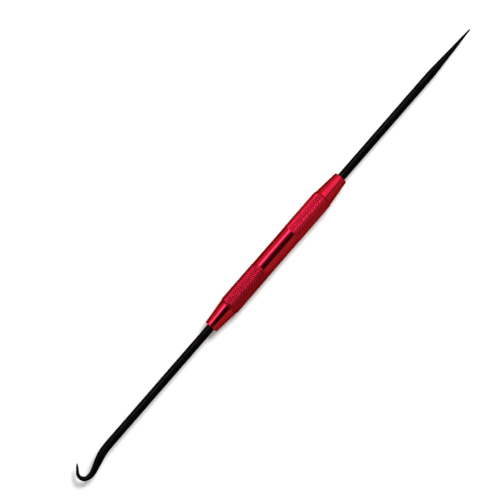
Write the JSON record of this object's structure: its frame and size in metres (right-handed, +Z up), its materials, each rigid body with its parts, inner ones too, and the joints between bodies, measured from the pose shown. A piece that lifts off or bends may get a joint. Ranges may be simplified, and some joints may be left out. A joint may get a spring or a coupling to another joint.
{
  "type": "double-ended scriber",
  "caption": "Double-ended scriber: knurled anodised handle with a straight tapered steel point at one end and a hooked steel point at the other, for marking metal.",
  "frame": {"origin": "on the handle's axis, halfway between its two nose faces, which is the middle of the smooth waist", "axes": "+X along the handle's axis towards the straight point; +Y towards the side that the hook's mouth opens on; +Z up, square to the level plane of the hook's bends"},
  "size_m": [0.2264, 0.0085, 0.008],
  "materials": {
    "anodised_handle": "red anodised aluminium: satin knurled bands, bright turned waist and noses",
    "black_rod": "black oxide on hardened steel, smooth with a soft sheen"
  },
  "bodies": {
    "root": {"knurled_handle": "anodised_handle", "straight_point": "black_rod", "hook_point": "black_rod"}
  },
  "joints": []
}
